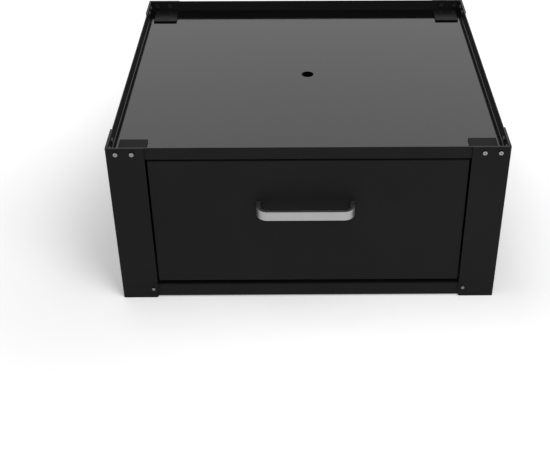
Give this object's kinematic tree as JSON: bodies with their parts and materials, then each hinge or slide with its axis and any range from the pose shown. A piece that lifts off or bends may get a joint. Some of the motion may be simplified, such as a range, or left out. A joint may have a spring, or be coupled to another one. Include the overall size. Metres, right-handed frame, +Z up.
{
  "type": "washer pedestal drawer",
  "caption": "Low black steel pedestal for a washing machine: rimmed top with corner pads, angle legs, and one wide drawer with a strap handle on ball slides.",
  "frame": {"origin": "on the floor, under the middle of the whole object with its handle and screw heads", "axes": "+X to the right as seen from the front, +Y to the back, +Z up; the drawer opens towards -Y"},
  "size_m": [0.635, 0.5922, 0.3],
  "materials": {
    "frame_paint": "black powder coat, fine texture",
    "gloss_paint": "smooth dark grey coat, semi-gloss",
    "inner_paint": "black coat, satin",
    "rubber_pads": "matt",
    "zinc_screws": "zinc plated",
    "satin_handle": "satin",
    "slide_steel": "zinc plated",
    "cage_steel": "yellow passivated"
  },
  "bodies": {
    "frame": {"leg_front_left": "frame_paint", "leg_rear_left": "frame_paint", "leg_front_right": "frame_paint", "leg_rear_right": "frame_paint", "top_rail_front": "frame_paint", "top_rail_rear": "frame_paint", "top_rail_left": "frame_paint", "top_rail_right": "frame_paint", "top_panel": "gloss_paint", "corner_pad_front_left": "rubber_pads", "corner_pad_rear_left": "rubber_pads", "corner_pad_front_right": "rubber_pads", "corner_pad_rear_right": "rubber_pads", "bottom_rail_front": "frame_paint", "bottom_rail_rear": "frame_paint", "bottom_rail_left": "frame_paint", "bottom_rail_right": "frame_paint", "side_panel_left": "frame_paint", "side_panel_right": "frame_paint", "back_panel": "frame_paint", "slide_bracket_left": "inner_paint", "slide_bracket_right": "inner_paint", "slide_outer_left": "slide_steel", "slide_outer_right": "slide_steel", "screw_front_left_1": "zinc_screws", "screw_side_front_left_1": "zinc_screws", "screw_front_left_2": "zinc_screws", "screw_side_front_left_2": "zinc_screws", "screw_front_right_1": "zinc_screws", "screw_side_front_right_1": "zinc_screws", "screw_front_right_2": "zinc_screws", "screw_side_front_right_2": "zinc_screws", "screw_rear_left_1": "zinc_screws", "screw_side_rear_left_1": "zinc_screws", "screw_rear_left_2": "zinc_screws", "screw_side_rear_left_2": "zinc_screws", "screw_rear_right_1": "zinc_screws", "screw_side_rear_right_1": "zinc_screws", "screw_rear_right_2": "zinc_screws", "screw_side_rear_right_2": "zinc_screws", "screw_bottom_left": "zinc_screws", "screw_bottom_right": "zinc_screws"},
    "drawer": {"drawer_front": "frame_paint", "drawer_liner": "inner_paint", "drawer_side_left": "inner_paint", "drawer_side_right": "inner_paint", "drawer_bottom": "inner_paint", "drawer_back": "inner_paint", "handle": "satin_handle", "handle_screw_left": "zinc_screws", "handle_screw_right": "zinc_screws", "slide_inner_left": "slide_steel", "slide_inner_right": "slide_steel"},
    "slide_middle_left": {"slide_middle_left": "slide_steel"},
    "ball_cage_outer_left": {"ball_cage_outer_left": "cage_steel"},
    "ball_cage_inner_left": {"ball_cage_inner_left": "cage_steel"},
    "slide_middle_right": {"slide_middle_right": "slide_steel"},
    "ball_cage_outer_right": {"ball_cage_outer_right": "cage_steel"},
    "ball_cage_inner_right": {"ball_cage_inner_right": "cage_steel"}
  },
  "joints": [
    {"name": "drawer_slide", "type": "slide", "parent": "frame", "child": "drawer", "axis": [0, -1, 0], "range_m": [0, 0.38]},
    {"name": "slide_middle_left_travel", "type": "slide", "parent": "frame", "child": "slide_middle_left", "axis": [0, -1, 0], "range_m": [0, 0.19]},
    {"name": "ball_cage_outer_left_travel", "type": "slide", "parent": "frame", "child": "ball_cage_outer_left", "axis": [0, -1, 0], "range_m": [0, 0.095]},
    {"name": "ball_cage_inner_left_travel", "type": "slide", "parent": "frame", "child": "ball_cage_inner_left", "axis": [0, -1, 0], "range_m": [0, 0.285]},
    {"name": "slide_middle_right_travel", "type": "slide", "parent": "frame", "child": "slide_middle_right", "axis": [0, -1, 0], "range_m": [0, 0.19]},
    {"name": "ball_cage_outer_right_travel", "type": "slide", "parent": "frame", "child": "ball_cage_outer_right", "axis": [0, -1, 0], "range_m": [0, 0.095]},
    {"name": "ball_cage_inner_right_travel", "type": "slide", "parent": "frame", "child": "ball_cage_inner_right", "axis": [0, -1, 0], "range_m": [0, 0.285]}
  ],
  "couplings": [
    {"joint": "slide_middle_left_travel", "follows": "drawer_slide", "ratio": 0.5},
    {"joint": "ball_cage_outer_left_travel", "follows": "drawer_slide", "ratio": 0.25},
    {"joint": "ball_cage_inner_left_travel", "follows": "drawer_slide", "ratio": 0.75},
    {"joint": "slide_middle_right_travel", "follows": "drawer_slide", "ratio": 0.5},
    {"joint": "ball_cage_outer_right_travel", "follows": "drawer_slide", "ratio": 0.25},
    {"joint": "ball_cage_inner_right_travel", "follows": "drawer_slide", "ratio": 0.75}
  ]
}
